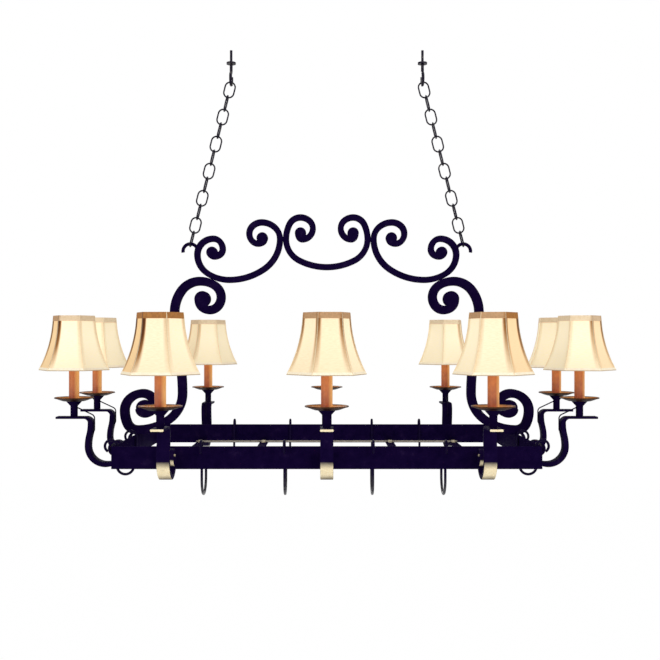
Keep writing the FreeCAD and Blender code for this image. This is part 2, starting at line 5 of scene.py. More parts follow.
import bmesh
import bpy
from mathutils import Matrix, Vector


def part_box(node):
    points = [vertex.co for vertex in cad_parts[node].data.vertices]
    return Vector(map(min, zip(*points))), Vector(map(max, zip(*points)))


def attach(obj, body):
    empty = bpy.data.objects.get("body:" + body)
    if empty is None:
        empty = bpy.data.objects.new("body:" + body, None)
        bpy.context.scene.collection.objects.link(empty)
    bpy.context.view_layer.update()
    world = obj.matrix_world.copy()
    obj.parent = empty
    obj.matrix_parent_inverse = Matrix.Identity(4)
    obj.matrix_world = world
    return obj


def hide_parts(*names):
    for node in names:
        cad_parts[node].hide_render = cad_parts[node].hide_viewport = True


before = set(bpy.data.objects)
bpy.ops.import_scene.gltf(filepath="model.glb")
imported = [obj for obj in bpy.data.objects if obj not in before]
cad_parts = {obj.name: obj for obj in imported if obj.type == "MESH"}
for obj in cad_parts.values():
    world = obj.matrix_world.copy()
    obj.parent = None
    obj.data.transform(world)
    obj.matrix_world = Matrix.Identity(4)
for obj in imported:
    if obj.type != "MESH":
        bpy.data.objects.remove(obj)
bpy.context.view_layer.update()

# Camera: level, in front of the rack's middle, a little above the rails.
# The small shift puts the horizon and the middle of the rack where the picture has them.
picture_width, focal_length, shift_right, shift_up = 660.0, 944.0, 3.2, 8.8  # px
camera_distance, camera_rise = 2.201, 0.222
rail_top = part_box("front_rail")[1][2]


def add_object(name, data):
    """New object in the scene, at the origin."""
    made = bpy.data.objects.new(name, data)
    bpy.context.scene.collection.objects.link(made)
    return made


camera_data = bpy.data.cameras.new("front_camera")
camera_data.sensor_width = 36.0
camera_data.lens = camera_data.sensor_width * focal_length / picture_width
camera_data.shift_x = shift_right / picture_width
camera_data.shift_y = shift_up / picture_width
camera = add_object("front_camera", camera_data)
camera.location = (0.0, -camera_distance, rail_top + camera_rise)
camera.rotation_euler = (math.radians(90.0), 0.0, 0.0)
bpy.context.scene.camera = camera

# Room: a plain pale floor under the rack and a white surround that only the camera and gloss see.
# Large soft lamps in front, low in front and behind give the iron its edges.
bpy.context.scene.view_settings.view_transform = "Standard"
floor_reach, floor_level, floor_whiteness = 9.0, -2.4, 0.997
white = (1.0, 1.0, 1.0, 1.0)


def fill_sockets(tree, node, inputs):
    """Set a node's sockets to values, or join them to other nodes' sockets."""
    for key, value in inputs.items():
        if isinstance(value, bpy.types.NodeSocket):
            tree.links.new(value, node.inputs[key])
        else:
            node.inputs[key].default_value = value


def place_node(tree, kind, inputs=None, **settings):
    """Add a node, set its options and fill its sockets."""
    made = tree.nodes.new(kind)
    for key, value in settings.items():
        setattr(made, key, value)
    fill_sockets(tree, made, inputs or {})
    return made


def math_node(tree, operation, first, second):
    """One sum on two values."""
    return place_node(tree, "ShaderNodeMath", {0: first, 1: second}, operation=operation).outputs[0]


def seen_directly(tree):
    """Factor that is one for camera, gloss and glass rays."""
    rays = place_node(tree, "ShaderNodeLightPath").outputs
    camera_or_gloss = math_node(tree, "MAXIMUM", rays["Is Camera Ray"], rays["Is Glossy Ray"])
    return math_node(tree, "MAXIMUM", camera_or_gloss, rays["Is Transmission Ray"])


room = bpy.data.worlds.new("white_room")
bpy.context.scene.world = room
room.use_nodes = True
tree = room.node_tree
tree.nodes.clear()
room_light = place_node(tree, "ShaderNodeBackground", {"Color": (0.96, 0.97, 1.0, 1.0), "Strength": 0.42})
room_white = place_node(tree, "ShaderNodeBackground", {"Color": white, "Strength": 1.0})
room_mix = place_node(tree, "ShaderNodeMixShader",
                      {0: seen_directly(tree), 1: room_light.outputs[0], 2: room_white.outputs[0]})
place_node(tree, "ShaderNodeOutputWorld", {"Surface": room_mix.outputs[0]})

floor_mesh = bpy.data.meshes.new("floor")
floor_mesh.from_pydata([(x * floor_reach, y * floor_reach, floor_level)
                        for x, y in ((-1, -1), (1, -1), (1, 1), (-1, 1))], [], [(0, 1, 2, 3)])
floor = add_object("floor", floor_mesh)
floor_paint = bpy.data.materials.new("pale_floor")
floor_paint.use_nodes = True
tree = floor_paint.node_tree
tree.nodes.clear()
floor_matt = place_node(tree, "ShaderNodeBsdfDiffuse", {"Color": (0.86, 0.86, 0.87, 1.0)})
floor_white = place_node(tree, "ShaderNodeEmission", {"Color": white, "Strength": 1.0})
floor_share = math_node(tree, "MULTIPLY", seen_directly(tree), floor_whiteness)
floor_mix = place_node(tree, "ShaderNodeMixShader",
                       {0: floor_share, 1: floor_matt.outputs[0], 2: floor_white.outputs[0]})
place_node(tree, "ShaderNodeOutputMaterial", {"Surface": floor_mix.outputs[0]})
floor_mesh.materials.append(floor_paint)

for lamp_name, place, aim_height, size, watts in (
        ("key_light", (2.4, -2.6, 0.9), -0.7, 1.8, 46.0),
        ("fill_light", (-2.6, -2.4, 0.0), -0.8, 2.0, 38.0),
        ("low_light", (0.5, -2.8, -1.7), -0.85, 1.6, 18.0),
        ("back_light", (-0.6, 2.8, 0.8), -0.6, 1.6, 34.0)):
    lamp_data = bpy.data.lights.new(lamp_name, "AREA")
    lamp_data.energy = watts
    lamp_data.size = size
    lamp = add_object(lamp_name, lamp_data)
    lamp.location = place
    aim = Vector((0.0, 0.0, aim_height)) - Vector(place)
    lamp.rotation_euler = aim.to_track_quat("-Z", "Y").to_euler()

# Rails, cross bars, legs and scrolls: flat and square bar, hot bent, with edges that the hammer has rounded.
# They are welded to one frame with the arch over it and painted satin black with a violet cast.
bar_edge, scroll_edge = 0.0009, 0.0016
same_point, flat_angle = 2e-5, math.radians(0.5)
bar_corner, bar_crease = math.radians(42.0), math.radians(38.0)
iron_black = [(0.3, (0.0042, 0.0014, 0.02)), (0.62, (0.007, 0.0026, 0.027)), (0.8, (0.015, 0.007, 0.038))]


def new_finish(name):
    """Material with its principled shader and an output, ready for pattern nodes."""
    finish = bpy.data.materials.new(name)
    finish.use_nodes = True
    finish.node_tree.nodes.clear()
    shader = place_node(finish.node_tree, "ShaderNodeBsdfPrincipled")
    place_node(finish.node_tree, "ShaderNodeOutputMaterial", {"Surface": shader.outputs[0]})
    coords = place_node(finish.node_tree, "ShaderNodeTexCoord").outputs["Object"]
    return finish, finish.node_tree, shader, coords


def colour_ramp(tree, factor, stops):
    """Colours picked from a list of (position, colour) by a factor."""
    ramp = place_node(tree, "ShaderNodeValToRGB", {0: factor})
    while len(ramp.color_ramp.elements) < len(stops):
        ramp.color_ramp.elements.new(0.5)
    for element, (position, colour) in zip(ramp.color_ramp.elements, stops):
        element.position = position
        element.color = (*colour, 1.0)
    return ramp.outputs[0]


def value_range(tree, factor, low, high):
    """Factor from 0..1 stretched to low..high."""
    return place_node(tree, "ShaderNodeMapRange", {"Value": factor, "To Min": low, "To Max": high}).outputs[0]


def noise(tree, coords, scale, detail):
    """Soft random pattern, 0..1."""
    return place_node(tree, "ShaderNodeTexNoise", {"Vector": coords, "Scale": scale, "Detail": detail}).outputs["Fac"]


def bump(tree, height, strength, distance, normal=None):
    """Normal that is tilted by a height pattern, on top of another one where given."""
    inputs = {"Height": height, "Strength": strength, "Distance": distance}
    if normal is not None:
        inputs["Normal"] = normal
    return place_node(tree, "ShaderNodeBump", inputs).outputs[0]


def smooth_faces(mesh, sharp_over=None):
    """Smooth shading, with the edges above an angle kept sharp."""
    for face in mesh.polygons:
        face.use_smooth = True
    if sharp_over is not None:
        mesh.set_sharp_from_angle(angle=sharp_over)


iron, tree, shader, coords = new_finish("forged_black_iron")
hammer, grain = noise(tree, coords, 55.0, 3.0), noise(tree, coords, 700.0, 2.0)
fill_sockets(tree, shader, {
    "Base Color": colour_ramp(tree, hammer, iron_black),
    "Roughness": value_range(tree, grain, 0.55, 0.75),
    "Specular IOR Level": 0.003,
    "Specular Tint": (0.42, 0.28, 1.0, 1.0),
    "Normal": bump(tree, grain, 0.12, 0.0006, bump(tree, hammer, 0.35, 0.0022))})


def forged_copy(node, body, edge, finish):
    """Copy of a bar with its long edges rounded, which stands for the bar."""
    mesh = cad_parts[node].data.copy()
    shape = bmesh.new()
    shape.from_mesh(mesh)
    bmesh.ops.remove_doubles(shape, verts=shape.verts, dist=same_point)
    bmesh.ops.dissolve_limit(shape, angle_limit=flat_angle, verts=shape.verts, edges=shape.edges, delimit={"NORMAL"})
    sharp = [e for e in shape.edges if e.is_manifold and e.calc_face_angle(0.0) > bar_corner]
    bmesh.ops.bevel(shape, geom=sharp, offset=edge, offset_type="OFFSET", segments=2, profile=0.5,
                    affect="EDGES", clamp_overlap=True)
    bmesh.ops.triangulate(shape, faces=[f for f in shape.faces if len(f.verts) > 4])
    shape.to_mesh(mesh)
    shape.free()
    smooth_faces(mesh, bar_crease)
    mesh.materials.clear()
    mesh.materials.append(finish)
    piece = add_object("forged_" + node, mesh)
    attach(piece, body)
    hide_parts(node)
    return piece


for node in ("front_rail", "back_rail", "left_rail", "right_rail", "cross_bars"):
    forged_copy(node, "rack", bar_edge, iron)
for node in ("left_c_scroll", "middle_c_scroll", "right_c_scroll", "left_scroll_leg", "right_scroll_leg"):
    forged_copy(node, "rack", scroll_edge, iron)


def finish_node(node, finish):
    """Give a carried-over solid its finish."""
    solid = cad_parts[node]
    solid.data.materials.clear()
    solid.data.materials.append(finish)


for node in ("lamp_stems", "chain_horns"):
    finish_node(node, iron)

# Lamp arms: one iron strap each, drawn thick at the neck, rolled under and curled against the rail.
# The black is rubbed through to old gilding on the roll and on the cut end of the seat. The gold is also a painted
# reflection of the light from below, strongest on faces that look partly down, and a painted highlight on the cut
# end.
seat_height, seat_edge, roll_top = 0.0475, 0.004, -0.014  # from the rail's top


def blend(tree, factor, first, second):
    """Colour between two colours; the colour sockets of the node are its sixth, seventh and second."""
    return place_node(tree, "ShaderNodeMix", {0: factor, 6: first, 7: second}, data_type="RGBA").outputs[2]


def painted(tree, layer):
    """Values that a mesh carries in a named layer."""
    return place_node(tree, "ShaderNodeAttribute", attribute_name=layer).outputs["Fac"]


def axes(tree, vector):
    """A vector's X, Y and Z."""
    return place_node(tree, "ShaderNodeSeparateXYZ", {0: vector}).outputs


def facing(tree):
    """X, Y and Z of the way that the surface faces."""
    return axes(tree, place_node(tree, "ShaderNodeNewGeometry").outputs["Normal"])


gilt_iron_and_painted_reflection, tree, shader, coords = new_finish("black_gilt_and_painted_reflection")
hammer, grain = noise(tree, coords, 55.0, 3.0), noise(tree, coords, 700.0, 2.0)
# Painted reflection: faces of the roll that look partly down are painted pale gold, as if they mirrored the light
# below.
reflection_below_stops = ((0.1, 0.0), (0.42, 0.8), (0.65, 1.0), (0.9, 0.3), (0.98, 0.05))
painted_reflection_below = colour_ramp(tree, math_node(tree, "MULTIPLY", facing(tree)["Z"], -1.0),
                    [(position, (low_bright_patches,) * 3) for position, low_bright_patches in reflection_below_stops])
gilt_and_reflection_on_roll = math_node(tree, "MULTIPLY", painted(tree, "rubbed"), painted_reflection_below)
gilt_and_reflection_all = math_node(tree, "MAXIMUM", gilt_and_reflection_on_roll, painted(tree, "cut_end"))
gilt_and_reflection_streaks = place_node(tree, "ShaderNodeMath", {0: gilt_and_reflection_all, 1: value_range(tree, hammer, 0.85, 1.5)},
                     operation="MULTIPLY", use_clamp=True).outputs[0]
gold_of_gilt_and_reflection = colour_ramp(tree, grain, [(0.3, (0.86, 0.66, 0.36)), (0.7, (1.0, 0.92, 0.66))])
fill_sockets(tree, shader, {
    "Base Color": blend(tree, gilt_and_reflection_streaks, colour_ramp(tree, hammer, iron_black), gold_of_gilt_and_reflection),
    "Roughness": value_range(tree, grain, 0.48, 0.66),
    "Specular IOR Level": 0.012,
    "Specular Tint": (0.5, 0.38, 0.9, 1.0),
    "Normal": bump(tree, grain, 0.12, 0.0006, bump(tree, hammer, 0.3, 0.002))})
for node, outward in (("front_lamp_arms", (0, -1, 0)), ("back_lamp_arms", (0, 1, 0)),
                      ("left_lamp_arms", (-1, 0, 0)), ("right_lamp_arms", (1, 0, 0))):
    arms = forged_copy(node, "rack", bar_edge, gilt_iron_and_painted_reflection)
    outward = Vector(outward)
    # The roll's faces and the cut end get gold: gilding, with a painted reflection on the roll and a painted
    # highlight on the end.
    roll_face_layer = arms.data.attributes.new("rubbed", "FLOAT", "FACE")
    end_layer = arms.data.attributes.new("cut_end", "FLOAT", "FACE")
    for face in arms.data.polygons:
        out, height = face.normal.dot(outward), face.center.z - rail_top
        broad = abs(face.normal.z) + abs(out) > 0.8
        roll_face_layer.data[face.index].value = 1.0 if broad and out > -0.35 and height < roll_top else 0.0
        end_layer.data[face.index].value = 1.0 if out > 0.9 and abs(height - seat_height) < seat_edge else 0.0

# Rivets: domed iron heads, hammered over on the inner face of the rails behind each arm.
# They hold the arms on and are painted black with the rails.
rivet_radius, rivet_flatness, rivet_proud = 0.0045, 0.55, 0.0025
outer_lamp_x, end_lamp_y = 0.323, 0.105


def new_node_group(name, sizes):
    """Geometry node tree that takes a mesh and named sizes, and its input's sockets."""
    group = bpy.data.node_groups.new(name, "GeometryNodeTree")
    group.interface.new_socket("Geometry", in_out="INPUT", socket_type="NodeSocketGeometry")
    for label, kind in sizes.items():
        group.interface.new_socket(label, in_out="INPUT", socket_type=kind)
    group.interface.new_socket("Geometry", in_out="OUTPUT", socket_type="NodeSocketGeometry")
    return group, place_node(group, "NodeGroupInput").outputs


def close_node_group(group, geometry, finish):
    """End a node tree with real meshes that have a finish."""
    real = place_node(group, "GeometryNodeRealizeInstances", {"Geometry": geometry})
    coated = place_node(group, "GeometryNodeSetMaterial", {"Geometry": real.outputs[0], "Material": finish})
    place_node(group, "NodeGroupOutput", {"Geometry": coated.outputs[0]})


def baked_nodes(name, mesh, node_tree, sizes):
    """Plain mesh object of what a node tree makes from a mesh, with its named sizes set."""
    carrier = add_object(name + "_carrier", mesh)
    modifier = carrier.modifiers.new("nodes", "NODES")
    modifier.node_group = node_tree
    for socket in node_tree.interface.items_tree:
        if socket.in_out == "INPUT" and socket.name in sizes:
            modifier[socket.identifier] = sizes[socket.name]
    made = bpy.data.meshes.new_from_object(carrier.evaluated_get(bpy.context.evaluated_depsgraph_get()))
    bpy.data.objects.remove(carrier)
    smooth_faces(made)
    return add_object(name, made)


rivet_tree, rivet_in = new_node_group("rivet_heads", {"Radius": "NodeSocketFloat", "Flatness": "NodeSocketFloat"})
dome = place_node(rivet_tree, "GeometryNodeMeshUVSphere",
                  {"Segments": 16, "Rings": 10, "Radius": rivet_in["Radius"]})
squeeze = place_node(rivet_tree, "ShaderNodeCombineXYZ", {"X": 1.0, "Y": 1.0, "Z": rivet_in["Flatness"]})
flat_dome = place_node(rivet_tree, "GeometryNodeTransform",
                       {"Geometry": dome.outputs["Mesh"], "Scale": squeeze.outputs[0]})
way = place_node(rivet_tree, "GeometryNodeInputNamedAttribute", {"Name": "way"}, data_type="FLOAT_VECTOR")
lay_flat = place_node(rivet_tree, "FunctionNodeAlignRotationToVector",
                      {"Vector": way.outputs["Attribute"]}, axis="Z")
spots = place_node(rivet_tree, "GeometryNodeMeshToPoints", {"Mesh": rivet_in["Geometry"]}, mode="VERTICES")
heads = place_node(rivet_tree, "GeometryNodeInstanceOnPoints",
                   {"Points": spots.outputs[0], "Instance": flat_dome.outputs[0], "Rotation": lay_flat.outputs[0]})
close_node_group(rivet_tree, heads.outputs[0], iron)

rivet_low, rivet_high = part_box("arm_rivets")
rail_inner_x, rail_inner_y = rivet_high[0] + rivet_proud, rivet_high[1] + rivet_proud
rivet_height = (rivet_low[2] + rivet_high[2]) / 2
rivet_spots = [((x, side * rail_inner_y, rivet_height), (0, -side, 0))
               for side in (-1, 1) for x in (-outer_lamp_x, 0.0, outer_lamp_x)]
rivet_spots += [((side * rail_inner_x, y, rivet_height), (-side, 0, 0))
                for side in (-1, 1) for y in (-end_lamp_y, end_lamp_y)]
rivet_mesh = bpy.data.meshes.new("rivet_spots")
rivet_mesh.from_pydata([place for place, way in rivet_spots], [], [])
way_layer = rivet_mesh.attributes.new("way", "FLOAT_VECTOR", "POINT")
for index, (place, way) in enumerate(rivet_spots):
    way_layer.data[index].vector = way
rivets = baked_nodes("rivet_heads", rivet_mesh, rivet_tree, {"Radius": rivet_radius, "Flatness": rivet_flatness})
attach(rivets, "rack")
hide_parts("arm_rivets")

# Chains and ceiling hooks: bent steel wire, blacked, rubbed grey where the links bear.
# They hang from screw hooks in the ceiling and end on the horns of the outer scrolls.
chain_black, tree, shader, coords = new_finish("blacked_chain_steel")
patches = noise(tree, coords, 130.0, 4.0)
fill_sockets(tree, shader, {
    "Base Color": colour_ramp(tree, patches, [(0.45, (0.006, 0.004, 0.014)), (0.62, (0.016, 0.013, 0.02)),
                                              (0.76, (0.14, 0.13, 0.115))]),
    "Roughness": value_range(tree, patches, 0.5, 0.28),
    "Metallic": 0.2,
    "Specular IOR Level": 0.12,
    "Normal": bump(tree, noise(tree, coords, 900.0, 2.0), 0.15, 0.0004)})
for node in ("left_chain", "right_chain", "left_ceiling_hook", "right_ceiling_hook"):
    finish_node(node, chain_black)

# Pot hooks: round steel rod bent to an S, blacked, brighter and more metallic in patches towards the bottom of the
# loop.
# Each hangs over the top edge of a rail and slides along it.
dull_above, bright_below = rail_top - 0.05, rail_top - 0.107


def share_between(tree, value, low, high):
    """How far a value has come from low to high, 0..1."""
    return place_node(tree, "ShaderNodeMapRange", {"Value": value, "From Min": low, "From Max": high}).outputs[0]


hook_black, tree, shader, coords = new_finish("blacked_hook_rod")
low = share_between(tree, axes(tree, coords)["Z"], dull_above, bright_below)
low_bright_patches = math_node(tree, "MULTIPLY", low, noise(tree, coords, 160.0, 3.0))
fill_sockets(tree, shader, {
    "Base Color": colour_ramp(tree, low_bright_patches, [(0.05, (0.006, 0.0025, 0.022)), (0.3, (0.03, 0.028, 0.036)),
                                          (0.7, (0.17, 0.17, 0.17))]),
    "Roughness": value_range(tree, low_bright_patches, 0.5, 0.26),
    "Metallic": low,
    "Specular IOR Level": 0.03,
    "Normal": bump(tree, noise(tree, coords, 700.0, 2.0), 0.12, 0.0004)})
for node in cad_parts:
    if "pot_hook" in node:
        finish_node(node, hook_black)

# Drip pans: spun steel dishes with a rolled rim, in a reddish bronze paint that is nearly black outside.
# They sit on the stems' cups. The bulb lights the dish, so it looks amber towards its middle.
front_lamp_y, end_lamp_x, pan_base = 0.370, 0.561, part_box("drip_pans")[0][2]
pan_turns, pan_crease = 72, math.radians(50.0)
bead_radius, bead_across, bead_up, bead_steps = 0.0014, 0.0416, 0.0071, 9
bead_start, bead_sweep = -110.0, 250.0
pan_outside = [(0.005, 0.0, 0.0), (0.024, 0.0, 0.0), (0.03, 0.0019, 0.0),  # radius, height, light
               (0.036, 0.0042, 0.0), (0.0402, 0.0059, 0.0)]
pan_inside = [(0.0396, 0.0072, 0.4), (0.036, 0.0056, 0.5), (0.03, 0.0033, 0.65),
              (0.0245, 0.0016, 0.8), (0.005, 0.0015, 1.0)]

pan_bronze, tree, shader, coords = new_finish("reddish_bronze_paint")
blotch = noise(tree, coords, 60.0, 4.0)
dish_light = painted(tree, "dish_light")
dark_bronze = colour_ramp(tree, blotch, [(0.3, (0.008, 0.003, 0.005)), (0.55, (0.022, 0.007, 0.006)),
                                         (0.78, (0.07, 0.024, 0.012))])
lit_bronze = colour_ramp(tree, blotch, [(0.3, (0.45, 0.16, 0.04)), (0.7, (0.78, 0.4, 0.15))])
fill_sockets(tree, shader, {
    "Base Color": blend(tree, dish_light, dark_bronze, lit_bronze),
    "Emission Color": blend(tree, dish_light, (0.0, 0.0, 0.0, 1.0), (0.8, 0.36, 0.1, 1.0)),
    "Emission Strength": 0.3,
    "Roughness": value_range(tree, blotch, 0.36, 0.5),
    "Specular IOR Level": 0.04,
    "Normal": bump(tree, noise(tree, coords, 420.0, 3.0), 0.15, 0.0005)})

pan_tree, pan_in = new_node_group("pan_places", {"Pan": "NodeSocketObject"})
one_pan = place_node(pan_tree, "GeometryNodeObjectInfo", {"Object": pan_in["Pan"]})
pan_spots = place_node(pan_tree, "GeometryNodeMeshToPoints", {"Mesh": pan_in["Geometry"]}, mode="VERTICES")
pan_copies = place_node(pan_tree, "GeometryNodeInstanceOnPoints",
                        {"Points": pan_spots.outputs[0], "Instance": one_pan.outputs["Geometry"]})
close_node_group(pan_tree, pan_copies.outputs[0], pan_bronze)


def ring_faces(turns, rows):
    """Faces of a closed section that is carried round a ring."""
    faces = []
    for turn_step in range(turns):
        here, after = turn_step * rows, (turn_step + 1) % turns * rows
        for row in range(rows):
            up = (row + 1) % rows
            faces.append((here + row, after + row, after + up, here + up))
    return faces


pan_bead = []
for step in range(bead_steps + 1):
    angle = math.radians(bead_start + bead_sweep * step / bead_steps)
    pan_bead.append((bead_across + bead_radius * math.cos(angle), bead_up + bead_radius * math.sin(angle), 0.05))
pan_section = pan_outside + pan_bead + pan_inside
pan_verts, dish_values = [], []
for turn_step in range(pan_turns):
    angle = 2 * math.pi * turn_step / pan_turns
    for radius, height, light in pan_section:
        pan_verts.append((radius * math.cos(angle), radius * math.sin(angle), height))
        dish_values.append(light)
pan_mesh = bpy.data.meshes.new("one_pan")
pan_mesh.from_pydata(pan_verts, [], ring_faces(pan_turns, len(pan_section)))
pan_mesh.attributes.new("dish_light", "FLOAT", "POINT").data.foreach_set("value", dish_values)
pan_object = add_object("one_pan", pan_mesh)
pan_axes = [(x, side * front_lamp_y, pan_base) for side in (-1, 1) for x in (-outer_lamp_x, 0.0, outer_lamp_x)]
pan_axes += [(side * end_lamp_x, y, pan_base) for side in (-1, 1) for y in (-end_lamp_y, end_lamp_y)]
pan_points = bpy.data.meshes.new("pan_points")
pan_points.from_pydata(pan_axes, [], [])
pans = baked_nodes("bronze_pans", pan_points, pan_tree, {"Pan": pan_object})
bpy.data.objects.remove(pan_object)
pans.data.set_sharp_from_angle(angle=pan_crease)
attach(pans, "rack")
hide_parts("drip_pans")

# Candle sleeves: amber tubes over the sockets, lit from the bulb above, so brighter at the top.
# They stand loose in the pans. The right side is painted paler, a painted highlight of the light from the right.
sleeve_foot, sleeve_dim_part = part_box("candle_sleeves")[0][2], 0.055
amber, tree, shader, coords = new_finish("amber_candle_sleeve")
wax = noise(tree, coords, 90.0, 3.0)
lit = share_between(tree, axes(tree, coords)["Z"], sleeve_foot, sleeve_foot + sleeve_dim_part)
# Painted highlight: faces turned to the right are painted paler.
painted_lit_side = share_between(tree, facing(tree)["X"], 0.25, 0.9)
amber_low = colour_ramp(tree, wax, [(0.3, (0.17, 0.03, 0.014)), (0.7, (0.32, 0.07, 0.022))])
amber_high = colour_ramp(tree, wax, [(0.3, (0.37, 0.085, 0.016)), (0.7, (0.49, 0.14, 0.029))])
fill_sockets(tree, shader, {
    "Base Color": blend(tree, painted_lit_side, blend(tree, lit, amber_low, amber_high), (0.84, 0.47, 0.16, 1.0)),
    "Roughness": value_range(tree, wax, 0.38, 0.55),
    "Emission Color": colour_ramp(tree, lit, [(0.0, (0.14, 0.03, 0.01)), (0.9, (0.85, 0.3, 0.06))]),
    "Emission Strength": 0.14,
    "Normal": bump(tree, wax, 0.2, 0.0006)})
finish_node("candle_sleeves", amber)

# Sockets and bulbs: black moulded sockets in the sleeves, and frosted glass flame bulbs that glow.
# The sockets screw on to the stems, and the bulbs into the sockets.
socket_black, tree, shader, coords = new_finish("moulded_socket")
mottle = noise(tree, coords, 300.0, 2.0)
fill_sockets(tree, shader, {
    "Base Color": colour_ramp(tree, mottle, [(0.3, (0.012, 0.012, 0.012)), (0.7, (0.025, 0.024, 0.023))]),
    "Roughness": 0.45})
finish_node("lamp_sockets", socket_black)

bulb_glow, tree, shader, coords = new_finish("frosted_bulb")
frost = noise(tree, coords, 250.0, 2.0)
fill_sockets(tree, shader, {
    "Base Color": colour_ramp(tree, frost, [(0.3, (0.9, 0.84, 0.7)), (0.7, (0.96, 0.93, 0.84))]),
    "Roughness": value_range(tree, frost, 0.25, 0.4),
    "Emission Color": (1.0, 0.82, 0.5, 1.0),
    "Emission Strength": 1.6})
finish_node("bulbs", bulb_glow)

# Shade frames: plain brass wire, bent to a clip, spokes and a ring under the top trim.
# The clip grips the bulb, and the shade turns on it.
clip_wire, tree, shader, coords = new_finish("brass_clip_wire")
tarnish = noise(tree, coords, 220.0, 3.0)
fill_sockets(tree, shader, {
    "Base Color": colour_ramp(tree, tarnish, [(0.3, (0.3, 0.19, 0.07)), (0.7, (0.55, 0.38, 0.16))]),
    "Roughness": value_range(tree, tarnish, 0.42, 0.25),
    "Metallic": 0.9})
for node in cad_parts:
    if node.startswith("shade_frame"):
        finish_node(node, clip_wire)

# Wiring: a dull sheathed lead along the cross bars, held by cream saddle clips.
# A dark tail leaves each lamp's stem and goes into the neck of its arm.
lead_sheath, tree, shader, coords = new_finish("dull_lead_sheath")
scuff = noise(tree, coords, 260.0, 3.0)
fill_sockets(tree, shader, {
    "Base Color": colour_ramp(tree, scuff, [(0.3, (0.2, 0.17, 0.14)), (0.7, (0.34, 0.3, 0.25))]),
    "Roughness": value_range(tree, scuff, 0.4, 0.6)})
finish_node("lamp_lead", lead_sheath)

tail_black, tree, shader, coords = new_finish("dark_lamp_tail")
scuff = noise(tree, coords, 300.0, 3.0)
fill_sockets(tree, shader, {
    "Base Color": colour_ramp(tree, scuff, [(0.3, (0.004, 0.0016, 0.016)), (0.7, (0.009, 0.004, 0.024))]),
    "Roughness": 0.6,
    "Specular IOR Level": 0.03})
finish_node("lamp_tails", tail_black)

clip_cream, tree, shader, coords = new_finish("cream_clip")
scuff = noise(tree, coords, 320.0, 3.0)
fill_sockets(tree, shader, {
    "Base Color": colour_ramp(tree, scuff, [(0.3, (0.5, 0.43, 0.3)), (0.7, (0.66, 0.6, 0.45))]),
    "Roughness": 0.5})
finish_node("lead_clips", clip_cream)

# Bell shades: six panels of slubbed cream cloth stretched on a wire frame and sewn at the ribs.
# The cloth glows from the bulb. Painted shade: the ribs and the folded top binding are painted brown where the cloth
# lies double, and the outer panels tan, most of all on each lamp's side turned away from the rack's middle.
bell_low, bell_high, bell_height, bell_rise = 0.078, 0.0455, 0.12, 0.069
bell_levels = ((0.0, 1.0), (0.18, 0.68), (0.42, 0.36), (0.7, 0.12), (1.0, 0.0))  # share of height, flare
panel_count, panel_angle = 6, math.radians(60.0)
cloth_wall, cloth_bow, cloth_edge = 0.0011, 0.0012, 0.001
across_steps, up_steps, band_steps = 12, 22, 8
cord_radius, rib_cord_out, hem_cord_out, hem_cord_up, hem_cord_tone = 0.0008, 0.0003, 0.0004, 0.002, 0.55
binding_from, binding_to, binding_thick = 0.905, 0.998, 0.0009
hem_from, hem_to, hem_thick = 0.006, 0.045, 0.0007
band_roll, band_shoulder, band_crease = 0.004, 0.012, math.radians(35.0)

shade_cloth, tree, shader, coords = new_finish("slubbed_cream_cloth")
cloth_map = place_node(tree, "ShaderNodeUVMap", uv_map="cloth").outputs[0]
panel_share = place_node(tree, "ShaderNodeMath", {0: axes(tree, cloth_map)["X"]}, operation="FRACT").outputs[0]
from_middle = math_node(tree, "SUBTRACT", panel_share, 0.5)
to_rib = place_node(tree, "ShaderNodeMath", {0: from_middle}, operation="ABSOLUTE").outputs[0]
# Painted rib shadow: the cloth beside each rib is painted brown, as deep as the rib layer says.
rib_shadow = math_node(tree, "MULTIPLY", share_between(tree, to_rib, 0.33, 0.42), painted(tree, "rib_shadow_and_hem_tone"))
rib_first = share_between(tree, rib_shadow, 0.0, 0.45)
rib_full = share_between(tree, rib_shadow, 0.32, 0.72)
thread_map = place_node(tree, "ShaderNodeMapping", {"Vector": cloth_map, "Scale": (60.0, 110.0, 1.0)}).outputs[0]
slub_map = place_node(tree, "ShaderNodeMapping", {"Vector": cloth_map, "Scale": (7.0, 70.0, 1.0)}).outputs[0]
slub = noise(tree, slub_map, 1.0, 4.0)
weave = place_node(tree, "ShaderNodeTexChecker", {"Vector": thread_map, "Scale": 1.0}).outputs["Fac"]
cream = colour_ramp(tree, slub, [(0.25, (0.81, 0.69, 0.46)), (0.75, (0.91, 0.81, 0.6))])
# Painted shade: the panels on each lamp's outer side are painted tan.
tan = blend(tree, painted(tree, "painted_side_shade"), cream, (0.83, 0.47, 0.16, 1.0))
brown = blend(tree, rib_first, tan, (0.44, 0.2, 0.06, 1.0))
lit_share = math_node(tree, "MULTIPLY", painted(tree, "glow"), math_node(tree, "SUBTRACT", 1.0, rib_first))
fill_sockets(tree, shader, {
    "Base Color": blend(tree, rib_full, brown, (0.07, 0.018, 0.006, 1.0)),
    "Roughness": 0.85,
    "Specular IOR Level": 0.15,
    "Sheen Weight": 0.05,
    "Emission Color": colour_ramp(tree, lit_share, [(0.0, (0.05, 0.02, 0.005)), (0.45, (0.36, 0.25, 0.12)),
                                                    (1.0, (0.64, 0.55, 0.37))]),
    "Emission Strength": 0.6,
    "Normal": bump(tree, slub, 0.25, 0.0006, bump(tree, weave, 0.12, 0.0003))})

